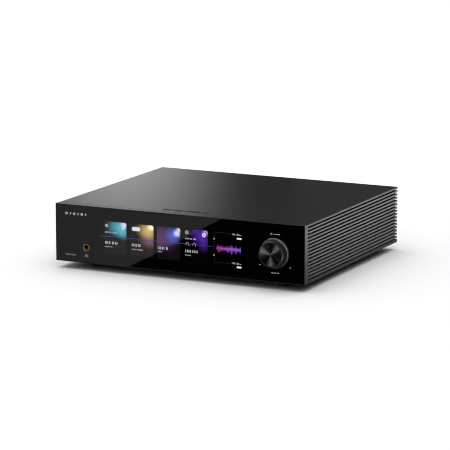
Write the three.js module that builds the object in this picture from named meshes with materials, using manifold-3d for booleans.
// Desktop digital-to-analogue converter: a full-width hi-fi casing with finned sides, a glass front over a
// wide display, a push-and-turn volume knob, a headphone socket, and mains, digital and analogue sockets at
// the back. Millimetres, +X right, +Y back, +Z up. The origin is on the surface under the feet, at the middle
// of the box that runs from the knob's face to the tip of the longest rear socket.
import * as THREE from "three";
import { mergeVertices } from "three/addons/utils/BufferGeometryUtils.js";
import Module from "manifold-3d";

const wasm = await Module();
wasm.setup();

// ---------------------------------------------------------------- driving dimensions

// Casing
const WIDTH = 430;
const DEPTH = 368; // front face to the rear ends of the side panels
const HEIGHT = 91.5; // without the feet
const SEAM = 0.2; // gap left between two pieces that touch
const TOP_THICKNESS = 3.5;
const BOTTOM_THICKNESS = 4.6;
const FRONT_THICKNESS = 10.6;
const REAR_THICKNESS = 2.5;
const REAR_RECESS = 2; // rear panel's outer face, in from the side panels' ends
const FIN_COUNT = 15;
const GROOVE_WIDTH = 2.3;
const GROOVE_DEPTH = 4;
const SIDE_WALL = 4;
const RAIL = 9; // square screw rail inside a side panel, along its top and bottom

// Feet
const FOOT_HEIGHT = 12;
const FOOT_RADIUS = 21;
const PAD_RADIUS = 16;
const PAD_THICKNESS = 3;
const PAD_PROUD = 1.5;
const FOOT_SIDE_INSET = 52; // foot's centre, in from the casing's side
const FOOT_END_INSET = 50; // foot's centre, in from the casing's front and rear ends

// Glass and display
const GLASS_THICKNESS = 2;
const GLASS_LIP = 0.8; // width of the metal edge round the glass
const DISPLAY_THICKNESS = 7;
const DISPLAY_FROM_PHONES = 18.9; // display's left edge, right of the headphone socket's axis
const DISPLAY_FROM_KNOB = 50.6; // display's right edge, left of the knob's axis
const DISPLAY_MARGIN_BELOW = 13.5;
const DISPLAY_MARGIN_ABOVE = 16;
const BRACKET_THICKNESS = 1.5;

// Knob and encoder
const KNOB_INSET = 49.4; // knob's axis, in from the casing's right side
const KNOB_REACH = 16.5; // knob's face, out from the glass
const KNOB_TRAVEL = 0.8; // push
const KNOB_GAP = KNOB_TRAVEL + 0.5; // between the knob and the glass
const KNOB_FLANGE = 1.5; // flange's reach beyond the knob's side
const KNOB_FLANGE_THICKNESS = 2.2;
const KNOB_RADIUS = 22; // next to the flange
const KNOB_TAPER = 1.2; // less radius at the front than at the flange
const KNOB_FACE_CHAMFER = 2.3;
const KNOB_WALL = 3.5;
const SHAFT_RADIUS = 3;
const SHAFT_GRIP = 7.5; // length of shaft inside the knob
const KNOB_HUB_RADIUS = SHAFT_RADIUS + 3;
const BUSH_RADIUS = SHAFT_RADIUS + 1.5;
const ENCODER_SIDE = 2 * SHAFT_RADIUS + 7;
const ENCODER_DEPTH = 8;
const NUT_RADIUS = BUSH_RADIUS + 2.3;
const NUT_THICKNESS = 2;
const PLUNGER_RADIUS = SHAFT_RADIUS - 0.6;
const PLUNGER_LENGTH = 0.9;

// Headphone socket
const PHONES_INSET = 55.1; // socket's axis, in from the casing's left side
const PHONES_Z = 24.9;
const PHONES_BORE_RADIUS = 3.25;
const PHONES_RING_RADIUS = PHONES_BORE_RADIUS + 2.9;
const PHONES_RING_THICKNESS = 1.2;
const PHONES_BUSH_RADIUS = PHONES_BORE_RADIUS + 1.5;
const PHONES_BORE_DEPTH = 34;
const PHONES_BODY_SIDE = 16;
const PHONES_BODY_DEPTH = 28;

// Screws
const SCREW_RADIUS = 1.5;
const SCREW_LENGTH = 10;
const SCREW_HEAD_RADIUS = 2.75;
const SCREW_HEAD_HEIGHT = 1.6;
const SCREW_CLEARANCE = 0.2;
const BOTTOM_SCREW_INSET = 30; // bottom screw, in from the casing's front and rear ends

// Rear sockets: each pair of rows shares the main board
const LOWER_ROW = 30;
const ROW_SPACING = 26;
const COLUMN_INSET = 43; // outermost column of sockets, in from the casing's right side
const COLUMN_SPACING = 40;
const HOLE_CLEARANCE = 0.3;
const FLANGE_THICKNESS = 2;
const XLR_BODY_RADIUS = 11.6;
const XLR_FLANGE = [2 * XLR_BODY_RADIUS + 2.8, 2 * XLR_BODY_RADIUS + 7.8];
const XLR_BORE_RADIUS = XLR_BODY_RADIUS - 2.3;
const XLR_BORE_DEPTH = 14;
const XLR_DEPTH = 24; // body behind the rear panel's outer face
const XLR_PIN_RADIUS = 1.2;
const XLR_PIN_CIRCLE = 5.2;
const PIN_ANGLES = [30, 150, 270];
const RCA_REACH = 9.5;
const RCA_RADIUS = 4.15;
const RCA_BORE_RADIUS = 1.7;
const RCA_NECK_RADIUS = 5.4;
const RCA_FLANGE_RADIUS = RCA_NECK_RADIUS + 1.4;
const RCA_BLOCK = [16, 15]; // width and depth of the moulded body on the board
const BNC_REACH = 10.5;
const BNC_RADIUS = 4.8;
const BNC_BORE_RADIUS = 3.9;
const BNC_CORE_RADIUS = 1.6;
const BNC_LUG_RADIUS = 1;
const BNC_LUG_REACH = 1.2;
const USB_OUTER = [12, 10.8];
const USB_BORE = [8.6, 7.9];
const USB_TONGUE = [5.6, 3.2];
const USB_BORE_DEPTH = 9;
const USB_DEPTH = 16;
const OPTICAL_OUTER = [14.5, 13.5];
const OPTICAL_BORE = [9.8, 9.6];
const OPTICAL_BORE_DEPTH = 13;
const OPTICAL_DEPTH = 17;
const OPTICAL_PROUD = 1.5;
const SHUTTER_THICKNESS = 0.8;
const SHUTTER_INSET = 0.6; // shutter's face, in from the mouth
const SHUTTER_CLEARANCE = 0.3;

// Mains inlet
const INLET_INSET = 65; // inlet's middle, in from the casing's left side
const INLET_WALL = 2.4; // around and between its rocker, bore and drawer
const INLET_RIM = 3; // flange's reach beyond the body
const INLET_DEPTH = 30;
const INLET_BORE = [24, 16.5];
const INLET_BORE_DEPTH = 17;
const BLADE = [2, 4]; // thickness and width of a mains pin
const BLADE_REACH = 15;
const BLADE_SPACING = 14; // between the two live pins
const BLADE_RISE = 4; // each pin, above or below the bore's middle
const ROCKER_HEIGHT = 19;
const ROCKER_WIDTH = 12;
const ROCKER_THICKNESS = 5;
const ROCKER_THROW = 18; // degrees from off to on
const ROCKER_POCKET_DEPTH = 11;
const ROCKER_CLEARANCE = 0.8;
const DRAWER_SIZE = [24, 9.5];
const DRAWER_LENGTH = 21;
const DRAWER_CLEARANCE = 0.3;
const DRAWER_LIP = [1.6, 1.8]; // finger lip along the drawer's lower edge: reach and height

// Inside
const STANDOFF_HEIGHT = 8;
const STANDOFF_RADIUS = 3;
const BOARD_THICKNESS = 1.6;
const BOARD_INSET = 8; // standoff, in from a board's edges
const BOARD_MARGIN = 15; // boards' right edges, in from the side panel's wall
const MAIN_BOARD_DEPTH = 154;
const MAIN_BOARD_BACK = 2.5; // main board's rear edge, in from the rear panel
const POWER_BOARD_DEPTH = 104;
const POWER_BOARD_FRONT = 17.5; // power board's front edge, behind the bracket
const POWER_BOARD_INSET = 40; // power board's left edge, right of the main board's
const PARTITION_INSET = 143; // in from the casing's left side
const PARTITION_GAP = 17.8; // under the top cover
const PARTITION_THICKNESS = 1.5;
const PARTITION_FLANGE = 12;
const TRANSFORMER_INSET = 80; // transformers' axes, in from the casing's left side
const TRANSFORMER_GAP = 6; // between them, and from the headphone socket
const TRANSFORMER_RADIUS = 50;
const TRANSFORMER_HOLE_RADIUS = 16;
const TRANSFORMER_HEIGHT = 40;
const DISH_RADIUS = 30;
const DISH_THICKNESS = 2;
const BOLT_RADIUS = 3;
const CAPACITOR_RADIUS = 12.5;
const CAPACITOR_HEIGHT = 42;
const CAPACITOR_COUNT = 4;
const CAPACITOR_SPACING = 36;
const CAPACITOR_FROM_FRONT = 32; // capacitors' axes, behind the power board's front edge
const SHIELD_INSET = 78; // can over the converter chips, in from the main board's sides
const SHIELD_DEPTH = 72;
const SHIELD_HEIGHT = 14;
const SHIELD_WALL = 1;
const RIBBON_WIDTH = 26;
const RIBBON_INSET = 18; // ribbon's middle, right of the main board's left edge
const RIBBON_THICKNESS = 0.6;
const RIBBON_HEIGHT = 22; // where it runs above the floor of the casing
const LEAD_RADIUS = 2.5;
const LEAD_STRAIGHT = 10; // straight length at each end
const CONNECTOR_SIZE = [18, 26, 14]; // mains connector on the power board
const LEAD_STEPS = 30;
const VENT_COUNT = 9;
const VENT_SLOT = [3, 44]; // width and length of a slot in the bottom plate
const VENT_PITCH = 11;
const VENT_INSET = 82; // middle of each row of slots, in from the casing's front and rear ends

// Roundness
const FINE = 48; // sides of the knob
const ROUND = 24; // sides of the other round pieces
const COARSE = 12;

// ---------------------------------------------------------------- derived places
// These are in the casing's own frame, which has its origin at the middle of the front face's lower edge:
// y runs back from the front face and z up from the bottom plate's underside.

const innerBottom = BOTTOM_THICKNESS + SEAM;
const innerTop = HEIGHT - TOP_THICKNESS - SEAM;
const behindFront = FRONT_THICKNESS + SEAM;
const wallInside = WIDTH / 2 - GROOVE_DEPTH - SIDE_WALL;
const railInside = wallInside - RAIL;
const rearFace = DEPTH - REAR_RECESS;
const rearInside = rearFace - REAR_THICKNESS;
const behindBracket = behindFront + BRACKET_THICKNESS + SEAM;
const boardBottom = BOTTOM_THICKNESS + STANDOFF_HEIGHT + SEAM;
const boardTop = boardBottom + BOARD_THICKNESS + SEAM;
const screwHole = SCREW_RADIUS + SCREW_CLEARANCE;
const lowerRail = innerBottom + RAIL / 2;
const upperRail = innerTop - RAIL / 2;
const railX = wallInside - RAIL / 2;
const knobX = WIDTH / 2 - KNOB_INSET;
const knobZ = HEIGHT / 2;
const phonesX = PHONES_INSET - WIDTH / 2;
const displayLeft = phonesX + DISPLAY_FROM_PHONES;
const displayWidth = knobX - DISPLAY_FROM_KNOB - displayLeft;
const displayHeight = HEIGHT - DISPLAY_MARGIN_BELOW - DISPLAY_MARGIN_ABOVE;
const displayX = displayLeft + displayWidth / 2;
const displayZ = DISPLAY_MARGIN_BELOW + displayHeight / 2;
const partitionX = PARTITION_INSET - WIDTH / 2;
const partitionTop = innerTop - PARTITION_GAP;
const boardRight = wallInside - BOARD_MARGIN;
const mainBack = rearInside - MAIN_BOARD_BACK;
const powerFront = behindBracket + POWER_BOARD_FRONT;
const mainBoardEdges = {
  left: partitionX + PARTITION_FLANGE,
  right: boardRight,
  front: mainBack - MAIN_BOARD_DEPTH,
  back: mainBack,
};
const powerBoardEdges = {
  left: mainBoardEdges.left + POWER_BOARD_INSET,
  right: boardRight,
  front: powerFront,
  back: powerFront + POWER_BOARD_DEPTH,
};
const phonesBack = behindBracket + PHONES_BODY_DEPTH;
const transformerX = TRANSFORMER_INSET - WIDTH / 2;
const transformerFront = phonesBack + TRANSFORMER_GAP + TRANSFORMER_RADIUS;
const transformerPlaces = [transformerFront, transformerFront + 2 * TRANSFORMER_RADIUS + TRANSFORMER_GAP];
const ribbonX = mainBoardEdges.left + RIBBON_INSET;
const frontFace = -(KNOB_REACH + DEPTH + BNC_REACH - REAR_RECESS) / 2 + KNOB_REACH;

// ---------------------------------------------------------------- shape helpers

function solid(geometry) {
  const bare = geometry.clone();
  bare.deleteAttribute("normal");
  bare.deleteAttribute("uv");
  const merged = mergeVertices(bare, 1e-4);
  return new wasm.Manifold(
    new wasm.Mesh({
      numProp: 3,
      vertProperties: new Float32Array(merged.attributes.position.array),
      triVerts: new Uint32Array(merged.index.array),
    }),
  );
}

function geometryOf(manifold) {
  const mesh = manifold.getMesh();
  const geometry = new THREE.BufferGeometry();
  geometry.setAttribute("position", new THREE.BufferAttribute(mesh.vertProperties, 3));
  geometry.setIndex(new THREE.BufferAttribute(mesh.triVerts, 1));
  return geometry;
}

function join(...pieces) {
  return geometryOf(pieces.map(solid).reduce((a, b) => a.add(b)));
}

function cut(piece, ...tools) {
  return geometryOf(tools.map(solid).reduce((a, b) => a.subtract(b), solid(piece)));
}

function box(x0, x1, y0, y1, z0, z1) {
  const made = new THREE.BoxGeometry(x1 - x0, y1 - y0, z1 - z0);
  return made.translate((x0 + x1) / 2, (y0 + y1) / 2, (z0 + z1) / 2);
}

// A block centred on x and z, of a [width, height] pair.
function block([width, height], y0, y1, x = 0, z = 0) {
  return box(x - width / 2, x + width / 2, y0, y1, z - height / 2, z + height / 2);
}

function rodAlongY(radius, y0, y1, x = 0, z = 0, sides = ROUND) {
  const made = new THREE.CylinderGeometry(radius, radius, y1 - y0, sides);
  return made.translate(x, (y0 + y1) / 2, z);
}

function rodAlongZ(radius, z0, z1, x = 0, y = 0, sides = ROUND) {
  const made = new THREE.CylinderGeometry(radius, radius, z1 - z0, sides);
  return made.rotateX(Math.PI / 2).translate(x, y, (z0 + z1) / 2);
}

// A turned piece about Y. The profile runs from low y to high y along its outside, in [radius, y] pairs.
function turned(profile, sides = ROUND) {
  const points = profile.map(([radius, y]) => new THREE.Vector2(radius, y));
  return new THREE.LatheGeometry(points, sides);
}

function turnedAboutZ(profile, sides = ROUND) {
  return turned(profile, sides).rotateX(Math.PI / 2);
}

// A shape drawn in x and z, carried from y0 to y1.
function extruded(shape, y0, y1) {
  const options = { depth: y1 - y0, bevelEnabled: false, curveSegments: ROUND / 2 };
  return new THREE.ExtrudeGeometry(shape, options).rotateX(Math.PI / 2).translate(0, y1, 0);
}

function rectangle(x0, x1, z0, z1, Kind = THREE.Path) {
  const path = new Kind();
  path.moveTo(x0, z0).lineTo(x1, z0).lineTo(x1, z1).lineTo(x0, z1).closePath();
  return path;
}

function centredRectangle(x, z, [width, height]) {
  return rectangle(x - width / 2, x + width / 2, z - height / 2, z + height / 2);
}

function circle(x, z, radius) {
  const path = new THREE.Path();
  path.absarc(x, z, radius, 0, 2 * Math.PI, false);
  return path;
}

function grown([width, height], by) {
  return [width + 2 * by, height + 2 * by];
}

// ---------------------------------------------------------------- materials

function paint(color, roughness, metalness) {
  return new THREE.MeshStandardMaterial({ color, roughness, metalness });
}

const blackAnodised = paint(0x1b1b1d, 0.45, 0.8);
const finnedAluminium = paint(0x3a3a3c, 0.4, 0.85);
const spunAluminium = paint(0x1a1a1b, 0.25, 0.95);
const blackGlass = paint(0x050506, 0.05, 0);
const displayGlow = paint(0x10131c, 0.2, 0);
const zincSteel = paint(0x9c9ea1, 0.4, 0.9);
const gold = paint(0xb08a45, 0.25, 1);
const nickel = paint(0xb8b9bb, 0.2, 1);
const blackPlastic = paint(0x161617, 0.55, 0);
const boardGreen = paint(0x14261c, 0.5, 0);
const rubber = paint(0x101010, 0.9, 0);
const windingTape = paint(0xa8862e, 0.6, 0);
const ribbonWhite = paint(0xd8d8d4, 0.6, 0);
const sleeveBlack = paint(0x202022, 0.7, 0);

// ---------------------------------------------------------------- assembly

const group = new THREE.Group();
const casing = new THREE.Group();
casing.position.set(0, frontFace, FOOT_HEIGHT);
group.add(casing);

function place(name, geometry, material, x = 0, y = 0, z = 0, parent = casing) {
  const mesh = new THREE.Mesh(geometry, material);
  mesh.name = name;
  mesh.position.set(x, y, z);
  parent.add(mesh);
  return mesh;
}

// ---------------------------------------------------------------- casing

const SIDES = [
  { side: "left", sign: -1 },
  { side: "right", sign: 1 },
];

function plate(z0, z1) {
  return box(-WIDTH / 2, WIDTH / 2, behindFront, DEPTH, z0, z1);
}

function topCover() {
  return plate(HEIGHT - TOP_THICKNESS, HEIGHT);
}

function boardCorners({ left, right, front, back }) {
  return [left + BOARD_INSET, right - BOARD_INSET].flatMap((x) =>
    [front + BOARD_INSET, back - BOARD_INSET].map((y) => [x, y]),
  );
}

const bottomScrewPlaces = SIDES.flatMap(({ side, sign }) => [
  { end: "front", side, x: sign * railX, y: behindFront + BOTTOM_SCREW_INSET },
  { end: "rear", side, x: sign * railX, y: DEPTH - BOTTOM_SCREW_INSET },
]);

function bottomPlate() {
  const standoffs = [...boardCorners(mainBoardEdges), ...boardCorners(powerBoardEdges)].map(([x, y]) =>
    rodAlongZ(STANDOFF_RADIUS, BOTTOM_THICKNESS - 1, BOTTOM_THICKNESS + STANDOFF_HEIGHT, x, y, COARSE),
  );
  const ventX = (mainBoardEdges.left + boardRight) / 2;
  const vents = [VENT_INSET, DEPTH - VENT_INSET].flatMap((y) =>
    Array.from({ length: VENT_COUNT }, (_, i) => {
      const x = ventX + (i - (VENT_COUNT - 1) / 2) * VENT_PITCH;
      const [width, length] = VENT_SLOT;
      return box(x - width / 2, x + width / 2, y - length / 2, y + length / 2, -1, BOTTOM_THICKNESS + 1);
    }),
  );
  const screwHoles = bottomScrewPlaces.map(({ x, y }) =>
    rodAlongZ(screwHole, -1, BOTTOM_THICKNESS + 1, x, y, COARSE),
  );
  const boltHoles = transformerPlaces.map((y) =>
    rodAlongZ(BOLT_RADIUS + SCREW_CLEARANCE, -1, BOTTOM_THICKNESS + 1, transformerX, y, COARSE),
  );
  return cut(join(plate(0, BOTTOM_THICKNESS), ...standoffs), ...vents, ...screwHoles, ...boltHoles);
}

// The right-hand side panel: fins outside, a screw rail along the inside of its top and bottom.
function sidePanel() {
  const outside = WIDTH / 2;
  const root = outside - GROOVE_DEPTH;
  const finBand = HEIGHT - TOP_THICKNESS - BOTTOM_THICKNESS;
  const fin = (finBand - (FIN_COUNT + 1) * GROOVE_WIDTH) / FIN_COUNT;
  const shape = new THREE.Shape();
  shape.moveTo(railInside, innerBottom).lineTo(root, innerBottom);
  for (let i = 0; i < FIN_COUNT; i++) {
    const z = BOTTOM_THICKNESS + GROOVE_WIDTH + i * (fin + GROOVE_WIDTH);
    shape.lineTo(root, z).lineTo(outside, z).lineTo(outside, z + fin).lineTo(root, z + fin);
  }
  shape.lineTo(root, innerTop).lineTo(railInside, innerTop);
  shape.lineTo(railInside, innerTop - RAIL).lineTo(wallInside, innerTop - RAIL);
  shape.lineTo(wallInside, innerBottom + RAIL).lineTo(railInside, innerBottom + RAIL).closePath();
  const rearSeat = box(railInside - 1, wallInside, rearInside - SEAM, DEPTH + 1, 0, HEIGHT);
  const rearHoles = [lowerRail, upperRail].map((z) =>
    rodAlongY(screwHole, rearInside - SCREW_LENGTH, DEPTH, railX, z, COARSE),
  );
  const bottomHoles = bottomScrewPlaces
    .filter(({ side }) => side === "right")
    .map(({ x, y }) => rodAlongZ(screwHole, 0, innerBottom + RAIL - 1, x, y, COARSE));
  return cut(extruded(shape, behindFront, DEPTH), rearSeat, ...rearHoles, ...bottomHoles);
}

place("top_cover", topCover(), blackAnodised);
place("bottom_plate", bottomPlate(), blackAnodised);
for (const { side, sign } of SIDES) {
  place(`side_panel_${side}`, sidePanel(), finnedAluminium).scale.x = sign;
}

// ---------------------------------------------------------------- front

const glassSeat = GLASS_THICKNESS + SEAM;
const phonesHole = PHONES_BUSH_RADIUS + HOLE_CLEARANCE;
const nutHole = NUT_RADIUS + 1;

function frontPanel() {
  const lip = GLASS_LIP;
  const seat = box(-WIDTH / 2 + lip, WIDTH / 2 - lip, -1, glassSeat, lip, HEIGHT - lip);
  const window = block(
    grown([displayWidth, displayHeight], HOLE_CLEARANCE), 0, FRONT_THICKNESS + 1, displayX, displayZ,
  );
  return cut(
    box(-WIDTH / 2, WIDTH / 2, 0, FRONT_THICKNESS, 0, HEIGHT),
    seat,
    window,
    rodAlongY(nutHole, 0, FRONT_THICKNESS + 1, knobX, knobZ),
    rodAlongY(phonesHole, 0, FRONT_THICKNESS + 1, phonesX, PHONES_Z),
  );
}

function frontGlass() {
  const inset = GLASS_LIP + SEAM;
  const shape = rectangle(-WIDTH / 2 + inset, WIDTH / 2 - inset, inset, HEIGHT - inset, THREE.Shape);
  shape.holes.push(circle(knobX, knobZ, nutHole), circle(phonesX, PHONES_Z, phonesHole));
  return extruded(shape, 0, GLASS_THICKNESS);
}

// A steel sheet behind the front that holds the encoder and the headphone socket.
function frontBracket() {
  const half = railInside - SEAM;
  const shape = rectangle(-half, half, innerBottom, innerTop, THREE.Shape);
  const slot = [RIBBON_WIDTH + 4, 8];
  shape.holes.push(
    circle(knobX, knobZ, BUSH_RADIUS + SCREW_CLEARANCE),
    circle(phonesX, PHONES_Z, phonesHole),
    centredRectangle(ribbonX, RIBBON_HEIGHT, slot),
  );
  return extruded(shape, behindFront, behindFront + BRACKET_THICKNESS);
}

place("front_panel", frontPanel(), blackAnodised);
place("front_glass", frontGlass(), blackGlass);
place("front_bracket", frontBracket(), zincSteel);

const displayFront = glassSeat + SEAM;
const display = block([displayWidth, displayHeight], 0, DISPLAY_THICKNESS);
place("display_module", display, displayGlow, displayX, displayFront, displayZ);

// ---------------------------------------------------------------- knob and encoder

const knobFace = -KNOB_REACH;
const knobBack = -KNOB_GAP;
const shaftTip = knobBack - KNOB_WALL - SHAFT_GRIP;
const encoderBack = behindBracket + ENCODER_DEPTH;
const plungerBack = encoderBack - 2.5 - KNOB_TRAVEL;
const shaftEnd = plungerBack - PLUNGER_LENGTH - SEAM;
const bore = SHAFT_RADIUS + SCREW_CLEARANCE;

// A cup, closed at the face, with a hub that grips the shaft.
function volumeKnob() {
  const frontRadius = KNOB_RADIUS - KNOB_TAPER;
  const cavityRadius = frontRadius - KNOB_WALL;
  const cavityEnd = knobFace + KNOB_WALL;
  const flangeFront = knobBack - KNOB_FLANGE_THICKNESS;
  const flangeRadius = KNOB_RADIUS + KNOB_FLANGE;
  const gripEnd = shaftTip - SEAM;
  return turned(
    [
      [0, knobFace],
      [frontRadius - KNOB_FACE_CHAMFER, knobFace],
      [frontRadius, knobFace + KNOB_FACE_CHAMFER],
      [KNOB_RADIUS, flangeFront],
      [flangeRadius, flangeFront],
      [flangeRadius, knobBack],
      [cavityRadius, knobBack],
      [cavityRadius, cavityEnd],
      [KNOB_HUB_RADIUS, cavityEnd],
      [KNOB_HUB_RADIUS, knobBack - KNOB_WALL],
      [bore, knobBack - KNOB_WALL],
      [bore, gripEnd],
      [0, gripEnd],
    ],
    FINE,
  );
}

function encoderBody() {
  const bushFront = glassSeat + SEAM;
  return cut(
    join(
      block([ENCODER_SIDE, ENCODER_SIDE], behindBracket, encoderBack),
      rodAlongY(BUSH_RADIUS, bushFront, behindBracket + 1),
    ),
    rodAlongY(bore, bushFront - 1, plungerBack + KNOB_TRAVEL + SEAM),
  );
}

function encoderNut() {
  const back = behindFront - SEAM;
  const nut = new THREE.CylinderGeometry(NUT_RADIUS, NUT_RADIUS, NUT_THICKNESS, 6);
  const hole = rodAlongY(BUSH_RADIUS + SCREW_CLEARANCE, back - NUT_THICKNESS - 1, back + 1);
  return cut(nut.translate(0, back - NUT_THICKNESS / 2, 0), hole);
}

const knobPlace = [knobX, 0, knobZ];
place("volume_knob", volumeKnob(), spunAluminium, ...knobPlace);
place("encoder_shaft", rodAlongY(SHAFT_RADIUS, shaftTip, shaftEnd), nickel, ...knobPlace);
const plunger = rodAlongY(PLUNGER_RADIUS, plungerBack - PLUNGER_LENGTH, plungerBack, 0, 0, COARSE);
place("encoder_plunger", plunger, blackPlastic, ...knobPlace);
place("encoder_body", encoderBody(), zincSteel, ...knobPlace);
place("encoder_nut", encoderNut(), nickel, ...knobPlace);
const encoderBoard = block([36, 40], encoderBack + SEAM, encoderBack + SEAM + BOARD_THICKNESS);
place("encoder_board", encoderBoard, boardGreen, ...knobPlace);

// ---------------------------------------------------------------- headphone socket

function headphoneSocket() {
  const size = [PHONES_BODY_SIDE, PHONES_BODY_SIDE];
  const body = block(size, behindBracket, behindBracket + PHONES_BODY_DEPTH);
  const bush = rodAlongY(PHONES_BUSH_RADIUS, 0, behindBracket + 1);
  return cut(join(body, bush), rodAlongY(PHONES_BORE_RADIUS, -1, PHONES_BORE_DEPTH));
}

function headphoneRing() {
  const front = -SEAM - PHONES_RING_THICKNESS;
  const chamfer = 0.5;
  const inside = PHONES_BORE_RADIUS + SEAM;
  return turned([
    [inside + chamfer, front],
    [PHONES_RING_RADIUS - chamfer, front],
    [PHONES_RING_RADIUS, front + chamfer],
    [PHONES_RING_RADIUS, -SEAM],
    [inside, -SEAM],
    [inside, front + chamfer],
    [inside + chamfer, front],
  ]);
}

place("headphone_socket", headphoneSocket(), blackPlastic, phonesX, 0, PHONES_Z);
place("headphone_ring", headphoneRing(), gold, phonesX, 0, PHONES_Z);

// ---------------------------------------------------------------- rear sockets
// Each is made about its own axis, with y = 0 on the rear panel's outer face and y increasing outwards.

const insidePanel = -REAR_THICKNESS - SEAM;
const rowSplit = LOWER_ROW + ROW_SPACING / 2;
const xlrHole = XLR_BODY_RADIUS;
const rcaHole = RCA_NECK_RADIUS;

function xlrSocket() {
  const pinFloor = -XLR_BORE_DEPTH;
  const pins = PIN_ANGLES.map((degrees) => {
    const angle = THREE.MathUtils.degToRad(degrees);
    const [x, z] = [XLR_PIN_CIRCLE * Math.cos(angle), XLR_PIN_CIRCLE * Math.sin(angle)];
    return rodAlongY(XLR_PIN_RADIUS, pinFloor - 1, -1, x, z, COARSE);
  });
  const shell = join(
    block(XLR_FLANGE, SEAM, SEAM + FLANGE_THICKNESS),
    rodAlongY(XLR_BODY_RADIUS, -XLR_DEPTH, SEAM + 0.1),
    box(-XLR_BODY_RADIUS + 1, XLR_BODY_RADIUS - 1, -XLR_DEPTH, insidePanel, boardTop - rowSplit, 0),
  );
  const hollow = cut(shell, rodAlongY(XLR_BORE_RADIUS, pinFloor, FLANGE_THICKNESS + 1));
  return join(hollow, ...pins);
}

// The moulded block of a board-mounted socket, from the board or the row below up to a height over its
// axis.
function boardBlock([width, depth], bottom, top) {
  return box(-width / 2, width / 2, insidePanel - depth, insidePanel, bottom, top);
}

const upperRow = LOWER_ROW + ROW_SPACING;
const ROWS = {
  upper: { z: upperRow, bottom: rowSplit + SEAM / 2 - upperRow },
  lower: { z: LOWER_ROW, bottom: boardTop - LOWER_ROW },
};
const blockTop = rowSplit - SEAM / 2 - LOWER_ROW;

function rcaSocket({ bottom }) {
  const body = join(
    rodAlongY(RCA_FLANGE_RADIUS, SEAM, SEAM + FLANGE_THICKNESS),
    rodAlongY(RCA_NECK_RADIUS, insidePanel - 1, SEAM + 0.1),
    rodAlongY(RCA_RADIUS, SEAM + FLANGE_THICKNESS - 0.1, RCA_REACH),
    boardBlock(RCA_BLOCK, bottom, Math.min(blockTop, RCA_FLANGE_RADIUS + 2)),
  );
  return cut(body, rodAlongY(RCA_BORE_RADIUS, SEAM, RCA_REACH + 1, 0, 0, COARSE));
}

function bncSocket({ bottom }) {
  const lugReach = BNC_RADIUS + BNC_LUG_REACH;
  const lug = new THREE.CylinderGeometry(BNC_LUG_RADIUS, BNC_LUG_RADIUS, 2 * lugReach, COARSE);
  const body = join(
    rodAlongY(RCA_FLANGE_RADIUS, SEAM, SEAM + FLANGE_THICKNESS),
    rodAlongY(RCA_NECK_RADIUS, insidePanel - 1, SEAM + 0.1),
    rodAlongY(BNC_RADIUS, SEAM + FLANGE_THICKNESS - 0.1, BNC_REACH),
    lug.rotateZ(Math.PI / 2).translate(0, BNC_REACH - 3, 0),
    boardBlock(RCA_BLOCK, bottom, Math.min(blockTop, RCA_FLANGE_RADIUS + 2)),
  );
  const hollow = cut(body, rodAlongY(BNC_BORE_RADIUS, SEAM + 1, BNC_REACH + 1));
  return join(hollow, rodAlongY(BNC_CORE_RADIUS, SEAM, BNC_REACH - 2, 0, 0, COARSE));
}

function usbSocket({ bottom }) {
  const half = USB_OUTER[1] / 2;
  const shell = join(
    block(USB_OUTER, -USB_DEPTH, 0.6),
    boardBlock([USB_OUTER[0], USB_DEPTH + insidePanel], bottom, half),
  );
  const hollow = cut(shell, block(USB_BORE, -USB_BORE_DEPTH, 1));
  return join(hollow, block(USB_TONGUE, -USB_BORE_DEPTH - 1, -0.5));
}

function opticalSocket({ bottom }) {
  const half = OPTICAL_OUTER[1] / 2;
  const shell = join(
    block(OPTICAL_OUTER, -OPTICAL_DEPTH, OPTICAL_PROUD),
    boardBlock([OPTICAL_OUTER[0], OPTICAL_DEPTH + insidePanel], bottom, half),
  );
  return cut(shell, block(OPTICAL_BORE, OPTICAL_PROUD - OPTICAL_BORE_DEPTH, OPTICAL_PROUD + 1));
}

// The shutter swings about its hinge line at z = 0 and fills the mouth.
function opticalShutter() {
  const [width, height] = grown(OPTICAL_BORE, -SHUTTER_CLEARANCE);
  const half = SHUTTER_THICKNESS / 2;
  return box(-width / 2, width / 2, -half, half, half - height, half);
}

// Columns are counted in from the casing's right side. A socket with no row stands between the two.
const SOCKETS = [
  { name: "xlr_out_right", column: 0, make: xlrSocket, hole: xlrHole, finish: nickel },
  { name: "xlr_out_left", column: 1, make: xlrSocket, hole: xlrHole, finish: nickel },
  { name: "rca_out_left", column: 2, row: "upper", make: rcaSocket, hole: rcaHole, finish: gold },
  { name: "rca_out_right", column: 2, row: "lower", make: rcaSocket, hole: rcaHole, finish: gold },
  { name: "coax_in", column: 3, row: "lower", make: rcaSocket, hole: rcaHole, finish: gold },
  {
    name: "optical_in", column: 3, row: "upper", make: opticalSocket, hole: OPTICAL_OUTER,
    finish: blackPlastic,
  },
  { name: "clock_in", column: 4, row: "upper", make: bncSocket, hole: rcaHole, finish: nickel },
  { name: "usb_in", column: 4, row: "lower", make: usbSocket, hole: USB_OUTER, finish: nickel },
].map((socket) => {
  const row = ROWS[socket.row] ?? { z: rowSplit };
  const x = WIDTH / 2 - COLUMN_INSET - socket.column * COLUMN_SPACING;
  return { ...socket, x, z: row.z, made: socket.make(row) };
});

for (const { name, x, z, made, finish } of SOCKETS) {
  place(name, made, finish, x, rearFace, z);
}

const optical = SOCKETS.find(({ name }) => name === "optical_in");
const shutterY = rearFace + OPTICAL_PROUD - SHUTTER_INSET - SHUTTER_THICKNESS / 2;
const shutterZ = optical.z + OPTICAL_BORE[1] / 2 - SHUTTER_CLEARANCE - SHUTTER_THICKNESS / 2;
place("optical_shutter", opticalShutter(), blackPlastic, optical.x, shutterY, shutterZ);

// ---------------------------------------------------------------- mains inlet, fuse drawer and rocker

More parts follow.
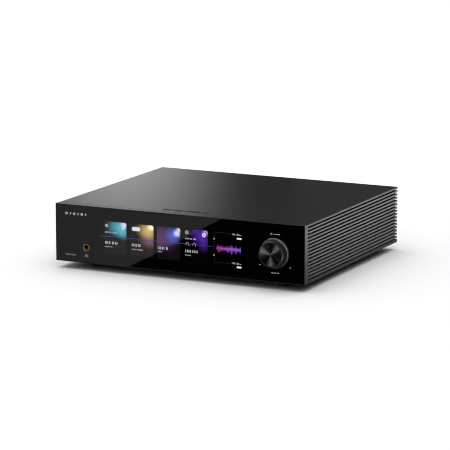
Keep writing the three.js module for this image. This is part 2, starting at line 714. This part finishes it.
// From the bottom: the fuse drawer, the bore with its three pins, and the rocker, with equal walls between.
const drawerSpace = grown(DRAWER_SIZE, DRAWER_CLEARANCE);
const rockerSpace = grown([ROCKER_WIDTH, ROCKER_HEIGHT], ROCKER_CLEARANCE);
const inletSpaces = [drawerSpace, INLET_BORE, rockerSpace];
const inletBody = [
  Math.max(...inletSpaces.map(([width]) => width)) + 2 * INLET_WALL,
  inletSpaces.reduce((sum, [, height]) => sum + height + INLET_WALL, INLET_WALL),
];
const inletFlange = grown(inletBody, INLET_RIM);
const drawerZ = -inletBody[1] / 2 + INLET_WALL + drawerSpace[1] / 2;
const boreZ = drawerZ + drawerSpace[1] / 2 + INLET_WALL + INLET_BORE[1] / 2;
const rockerZ = inletBody[1] / 2 - INLET_WALL - rockerSpace[1] / 2;
const inletX = INLET_INSET - WIDTH / 2;
const inletZ = (innerBottom + innerTop) / 2;

function mainsInlet() {
  const boreFloor = -INLET_BORE_DEPTH;
  const mouth = SEAM + FLANGE_THICKNESS + 1;
  const shell = join(
    block(inletFlange, SEAM, SEAM + FLANGE_THICKNESS),
    block(inletBody, -INLET_DEPTH, SEAM + 0.1),
  );
  const hollow = cut(
    shell,
    block(INLET_BORE, boreFloor, mouth, 0, boreZ),
    block(rockerSpace, SEAM + FLANGE_THICKNESS - ROCKER_POCKET_DEPTH, mouth, 0, rockerZ),
    block(drawerSpace, SEAM + FLANGE_THICKNESS - DRAWER_LENGTH - SEAM, mouth, 0, drawerZ),
  );
  const blades = [
    [-BLADE_SPACING / 2, -BLADE_RISE],
    [BLADE_SPACING / 2, -BLADE_RISE],
    [0, BLADE_RISE],
  ].map(([x, z]) => block(BLADE, boreFloor - 1, boreFloor + BLADE_REACH, x, boreZ + z));
  return join(hollow, ...blades);
}

function fuseDrawer() {
  const [reach, height] = DRAWER_LIP;
  const [width, depth] = DRAWER_SIZE;
  return join(
    block(DRAWER_SIZE, -DRAWER_LENGTH, 0),
    box(-width / 2, width / 2, -0.5, reach, -depth / 2, -depth / 2 + height),
  );
}

// A rocker with two flats that meet at its middle.
function powerRocker() {
  const half = ROCKER_HEIGHT / 2;
  const rise = half * Math.tan(THREE.MathUtils.degToRad(ROCKER_THROW / 2));
  const profile = new THREE.Shape();
  profile.moveTo(-ROCKER_THICKNESS, -half + 2).lineTo(rise, -half).lineTo(0, 0);
  profile.lineTo(rise, half).lineTo(-ROCKER_THICKNESS, half - 2).closePath();
  const slab = new THREE.ExtrudeGeometry(profile, { depth: ROCKER_WIDTH, bevelEnabled: false });
  slab.translate(0, 0, -ROCKER_WIDTH / 2);
  // The profile's x becomes y, its y becomes z and its depth becomes x.
  slab.applyMatrix4(new THREE.Matrix4().makeBasis(
    new THREE.Vector3(0, 1, 0), new THREE.Vector3(0, 0, 1), new THREE.Vector3(1, 0, 0),
  ));
  return slab;
}

place("mains_inlet", mainsInlet(), blackPlastic, inletX, rearFace, inletZ);
const flangeFace = rearFace + SEAM + FLANGE_THICKNESS;
place("fuse_drawer", fuseDrawer(), blackPlastic, inletX, flangeFace, inletZ + drawerZ);
// The rocker is stored switched on, with its top half pressed in.
const rocker = place("power_rocker", powerRocker(), blackPlastic, inletX, flangeFace, inletZ + rockerZ);
rocker.rotation.x = THREE.MathUtils.degToRad(ROCKER_THROW / 2);

// ---------------------------------------------------------------- rear panel

function rearPanel() {
  const half = wallInside - SEAM;
  const shape = rectangle(-half, half, innerBottom, innerTop, THREE.Shape);
  for (const { x, z, hole } of SOCKETS) {
    const size = Array.isArray(hole) ? grown(hole, HOLE_CLEARANCE) : hole + HOLE_CLEARANCE;
    shape.holes.push(Array.isArray(size) ? centredRectangle(x, z, size) : circle(x, z, size));
  }
  shape.holes.push(centredRectangle(inletX, inletZ, grown(inletBody, HOLE_CLEARANCE)));
  for (const { sign } of SIDES) {
    for (const z of [lowerRail, upperRail]) {
      shape.holes.push(circle(sign * railX, z, screwHole));
    }
  }
  return extruded(shape, rearInside, rearFace);
}

place("rear_panel", rearPanel(), blackAnodised);

// ---------------------------------------------------------------- screws

// A pan-head screw along Y, its head outside y = 0.
function screw() {
  const headEdge = SCREW_HEAD_HEIGHT * 0.5;
  return turned(
    [
      [0, -SCREW_LENGTH],
      [SCREW_RADIUS, -SCREW_LENGTH],
      [SCREW_RADIUS, SEAM],
      [SCREW_HEAD_RADIUS, SEAM],
      [SCREW_HEAD_RADIUS, SEAM + headEdge],
      [SCREW_HEAD_RADIUS * 0.7, SEAM + SCREW_HEAD_HEIGHT],
      [0, SEAM + SCREW_HEAD_HEIGHT],
    ],
    COARSE,
  );
}

for (const { side, sign } of SIDES) {
  place(`rear_screw_lower_${side}`, screw(), zincSteel, sign * railX, rearFace, lowerRail);
  place(`rear_screw_upper_${side}`, screw(), zincSteel, sign * railX, rearFace, upperRail);
}
for (const { end, side, x, y } of bottomScrewPlaces) {
  place(`bottom_screw_${end}_${side}`, screw(), zincSteel, x, y, 0).rotation.x = -Math.PI / 2;
}

// ---------------------------------------------------------------- feet

// Heights are above the surface that the feet stand on.
function foot() {
  const bottom = PAD_PROUD;
  const top = FOOT_HEIGHT - SEAM;
  const seat = PAD_THICKNESS + SEAM;
  const waist = FOOT_RADIUS - 2.5;
  return turnedAboutZ([
    [0, seat],
    [PAD_RADIUS + SEAM, seat],
    [PAD_RADIUS + SEAM, bottom],
    [waist - 1, bottom],
    [waist, bottom + 1],
    [FOOT_RADIUS, top - 2],
    [FOOT_RADIUS, top],
    [0, top],
  ]);
}

for (const { side, sign } of SIDES) {
  const x = sign * (WIDTH / 2 - FOOT_SIDE_INSET);
  for (const [end, y] of [["front", FOOT_END_INSET], ["rear", DEPTH - FOOT_END_INSET]]) {
    place(`foot_${end}_${side}`, foot(), blackPlastic, x, frontFace + y, 0, group);
    const pad = rodAlongZ(PAD_RADIUS, 0, PAD_THICKNESS);
    place(`foot_pad_${end}_${side}`, pad, rubber, x, frontFace + y, 0, group);
  }
}

// ---------------------------------------------------------------- power supply

// A wound ring core with round shoulders, standing on z = 0.
function transformer() {
  const shoulder = 7;
  const corner = (radius, z, from) => Array.from({ length: 4 }, (_, i) => {
    const angle = from + (i * Math.PI) / 6;
    return [radius + shoulder * Math.cos(angle), z + shoulder * Math.sin(angle)];
  });
  const [inner, outer] = [TRANSFORMER_HOLE_RADIUS + shoulder, TRANSFORMER_RADIUS - shoulder];
  const [low, high] = [shoulder, TRANSFORMER_HEIGHT - shoulder];
  const profile = [
    ...corner(inner, low, Math.PI),
    ...corner(outer, low, 1.5 * Math.PI),
    ...corner(outer, high, 0),
    ...corner(inner, high, 0.5 * Math.PI),
  ];
  return turnedAboutZ([...profile, profile[0]]);
}

// A bolt down the middle of a transformer, with the dished washer that clamps it.
function transformerBolt() {
  const clampedTop = innerBottom + TRANSFORMER_HEIGHT + SEAM;
  return turnedAboutZ(
    [
      [0, SEAM],
      [BOLT_RADIUS, SEAM],
      [BOLT_RADIUS, clampedTop],
      [DISH_RADIUS, clampedTop],
      [DISH_RADIUS, clampedTop + DISH_THICKNESS],
      [BOLT_RADIUS * 2, clampedTop + DISH_THICKNESS],
      [BOLT_RADIUS * 2, clampedTop + DISH_THICKNESS * 3],
      [0, clampedTop + DISH_THICKNESS * 3],
    ],
    ROUND,
  );
}

["front", "rear"].forEach((end, i) => {
  const y = transformerPlaces[i];
  place(`transformer_${end}`, transformer(), windingTape, transformerX, y, innerBottom);
  place(`transformer_bolt_${end}`, transformerBolt(), zincSteel, transformerX, y, 0);
});

function boardPlate({ left, right, front, back }) {
  return box(left, right, front, back, boardBottom, boardBottom + BOARD_THICKNESS);
}

// A board-mounted part, sunk a little into the board so that they are one solid.
function onBoard(x, y, width, depth, height) {
  const top = boardBottom + BOARD_THICKNESS;
  return box(x - width / 2, x + width / 2, y - depth / 2, y + depth / 2, top - 0.5, top + height);
}

const connectorX = powerBoardEdges.left + 14;
const connectorY = powerBoardEdges.back - 30;
const powerBoardWidth = powerBoardEdges.right - powerBoardEdges.left;

function powerBoard() {
  const { left, right, back } = powerBoardEdges;
  return join(
    boardPlate(powerBoardEdges),
    onBoard((left + right) / 2, back - 46, 0.42 * powerBoardWidth, 6, 34), // regulators' heat sink
    onBoard((left + right) / 2, back - 30, 40, 24, 18), // standby transformer
    onBoard(connectorX, connectorY, ...CONNECTOR_SIZE),
    onBoard(right - 20, back - 22, 24, 18, 10), // output connector
    onBoard(left + 36, back - 18, 14, 14, 16), // relay
  );
}

place("power_board", powerBoard(), boardGreen);
const capacitorRow = (CAPACITOR_COUNT - 1) * CAPACITOR_SPACING;
for (let i = 0; i < CAPACITOR_COUNT; i++) {
  const can = rodAlongZ(CAPACITOR_RADIUS, boardTop, boardTop + CAPACITOR_HEIGHT);
  const x = (powerBoardEdges.left + powerBoardEdges.right - capacitorRow) / 2 + i * CAPACITOR_SPACING;
  place(`capacitor_${i + 1}`, can, sleeveBlack, x, powerFront + CAPACITOR_FROM_FRONT, 0);
}

const partitionBack = rearInside - SEAM;
const partition = join(
  box(
    partitionX, partitionX + PARTITION_THICKNESS, behindBracket, partitionBack,
    innerBottom, partitionTop,
  ),
  box(
    partitionX, partitionX + PARTITION_FLANGE, behindBracket, partitionBack,
    innerBottom, innerBottom + PARTITION_THICKNESS,
  ),
);
place("shield_partition", partition, zincSteel);

// ---------------------------------------------------------------- main board

const ribbonEnd = mainBoardEdges.front + 14;

function mainBoard() {
  const { left, right, front, back } = mainBoardEdges;
  const middle = (front + back) / 2;
  return join(
    boardPlate(mainBoardEdges),
    onBoard(ribbonX, ribbonEnd + 4, RIBBON_WIDTH + 4, 6, 5), // display connector
    onBoard(left + 40, middle + 10, 27, 27, 2), // digital receiver
    onBoard(left + 54, middle - 30, 17, 17, 1.5), // controller
    onBoard(right - 20, middle + 10, 16, 30, 12), // output relays
    onBoard(right - 20, middle - 40, 16, 30, 12),
    onBoard(right - 44, middle + 10, 10, 44, 1.5), // output stages
    onBoard(right - 44, middle - 40, 10, 44, 1.5),
  );
}

// The can over the converter chips, open underneath.
function converterShield() {
  const half = (mainBoardEdges.right - mainBoardEdges.left) / 2 - SHIELD_INSET;
  const deep = SHIELD_DEPTH / 2;
  const wall = SHIELD_WALL;
  const inner = box(-half + wall, half - wall, -deep + wall, deep - wall, -1, SHIELD_HEIGHT - wall);
  return cut(box(-half, half, -deep, deep, 0, SHIELD_HEIGHT), inner);
}

place("main_board", mainBoard(), boardGreen);
const shieldX = (mainBoardEdges.left + mainBoardEdges.right) / 2;
const shieldY = (mainBoardEdges.front + mainBoardEdges.back) / 2 - 18;
place("converter_shield", converterShield(), zincSteel, shieldX, shieldY, boardTop);

// ---------------------------------------------------------------- internal leads

// A flat cable from the display's back, through the bracket's slot, to the main board's connector.
function ribbonCable() {
  const start = displayFront + DISPLAY_THICKNESS + SEAM;
  const top = boardBottom + BOARD_THICKNESS + 5 + SEAM;
  const slopeStart = ribbonEnd - 12;
  const profile = new THREE.Shape();
  profile.moveTo(start, RIBBON_HEIGHT).lineTo(slopeStart, RIBBON_HEIGHT).lineTo(ribbonEnd, top);
  profile.lineTo(ribbonEnd + 5, top).lineTo(ribbonEnd + 5, top + RIBBON_THICKNESS);
  profile.lineTo(ribbonEnd, top + RIBBON_THICKNESS);
  profile.lineTo(slopeStart, RIBBON_HEIGHT + RIBBON_THICKNESS);
  profile.lineTo(start, RIBBON_HEIGHT + RIBBON_THICKNESS).closePath();
  const strip = new THREE.ExtrudeGeometry(profile, { depth: RIBBON_WIDTH, bevelEnabled: false });
  strip.translate(0, 0, -RIBBON_WIDTH / 2);
  strip.applyMatrix4(new THREE.Matrix4().makeBasis(
    new THREE.Vector3(0, 1, 0), new THREE.Vector3(0, 0, 1), new THREE.Vector3(1, 0, 0),
  ));
  return strip;
}

// The sleeved lead from the inlet, over the partition, down to the power board.
function mainsLead() {
  const inletBack = rearFace - INLET_DEPTH - SEAM;
  const connectorTop = boardBottom + BOARD_THICKNESS + CONNECTOR_SIZE[2] + SEAM;
  const overPartition = partitionTop + LEAD_RADIUS + 3;
  const path = new THREE.CatmullRomCurve3([
    new THREE.Vector3(inletX, inletBack, inletZ),
    new THREE.Vector3(inletX, inletBack - LEAD_STRAIGHT, inletZ),
    new THREE.Vector3(inletX + 30, inletBack - 50, (inletZ + overPartition) / 2),
    new THREE.Vector3(partitionX - 14, inletBack - 86, overPartition),
    new THREE.Vector3(partitionX + 16, (inletBack - 86 + connectorY) / 2, overPartition),
    new THREE.Vector3(connectorX - 20, connectorY + 34, connectorTop + 2 * LEAD_STRAIGHT),
    new THREE.Vector3(connectorX, connectorY, connectorTop + LEAD_STRAIGHT),
    new THREE.Vector3(connectorX, connectorY, connectorTop),
  ]);
  const section = new THREE.Shape().absarc(0, 0, LEAD_RADIUS, 0, 2 * Math.PI, false);
  return new THREE.ExtrudeGeometry(section, { steps: LEAD_STEPS, curveSegments: 4, extrudePath: path });
}

place("ribbon_cable", ribbonCable(), ribbonWhite, ribbonX, 0, 0);
place("mains_lead", mainsLead(), sleeveBlack);

export default group;
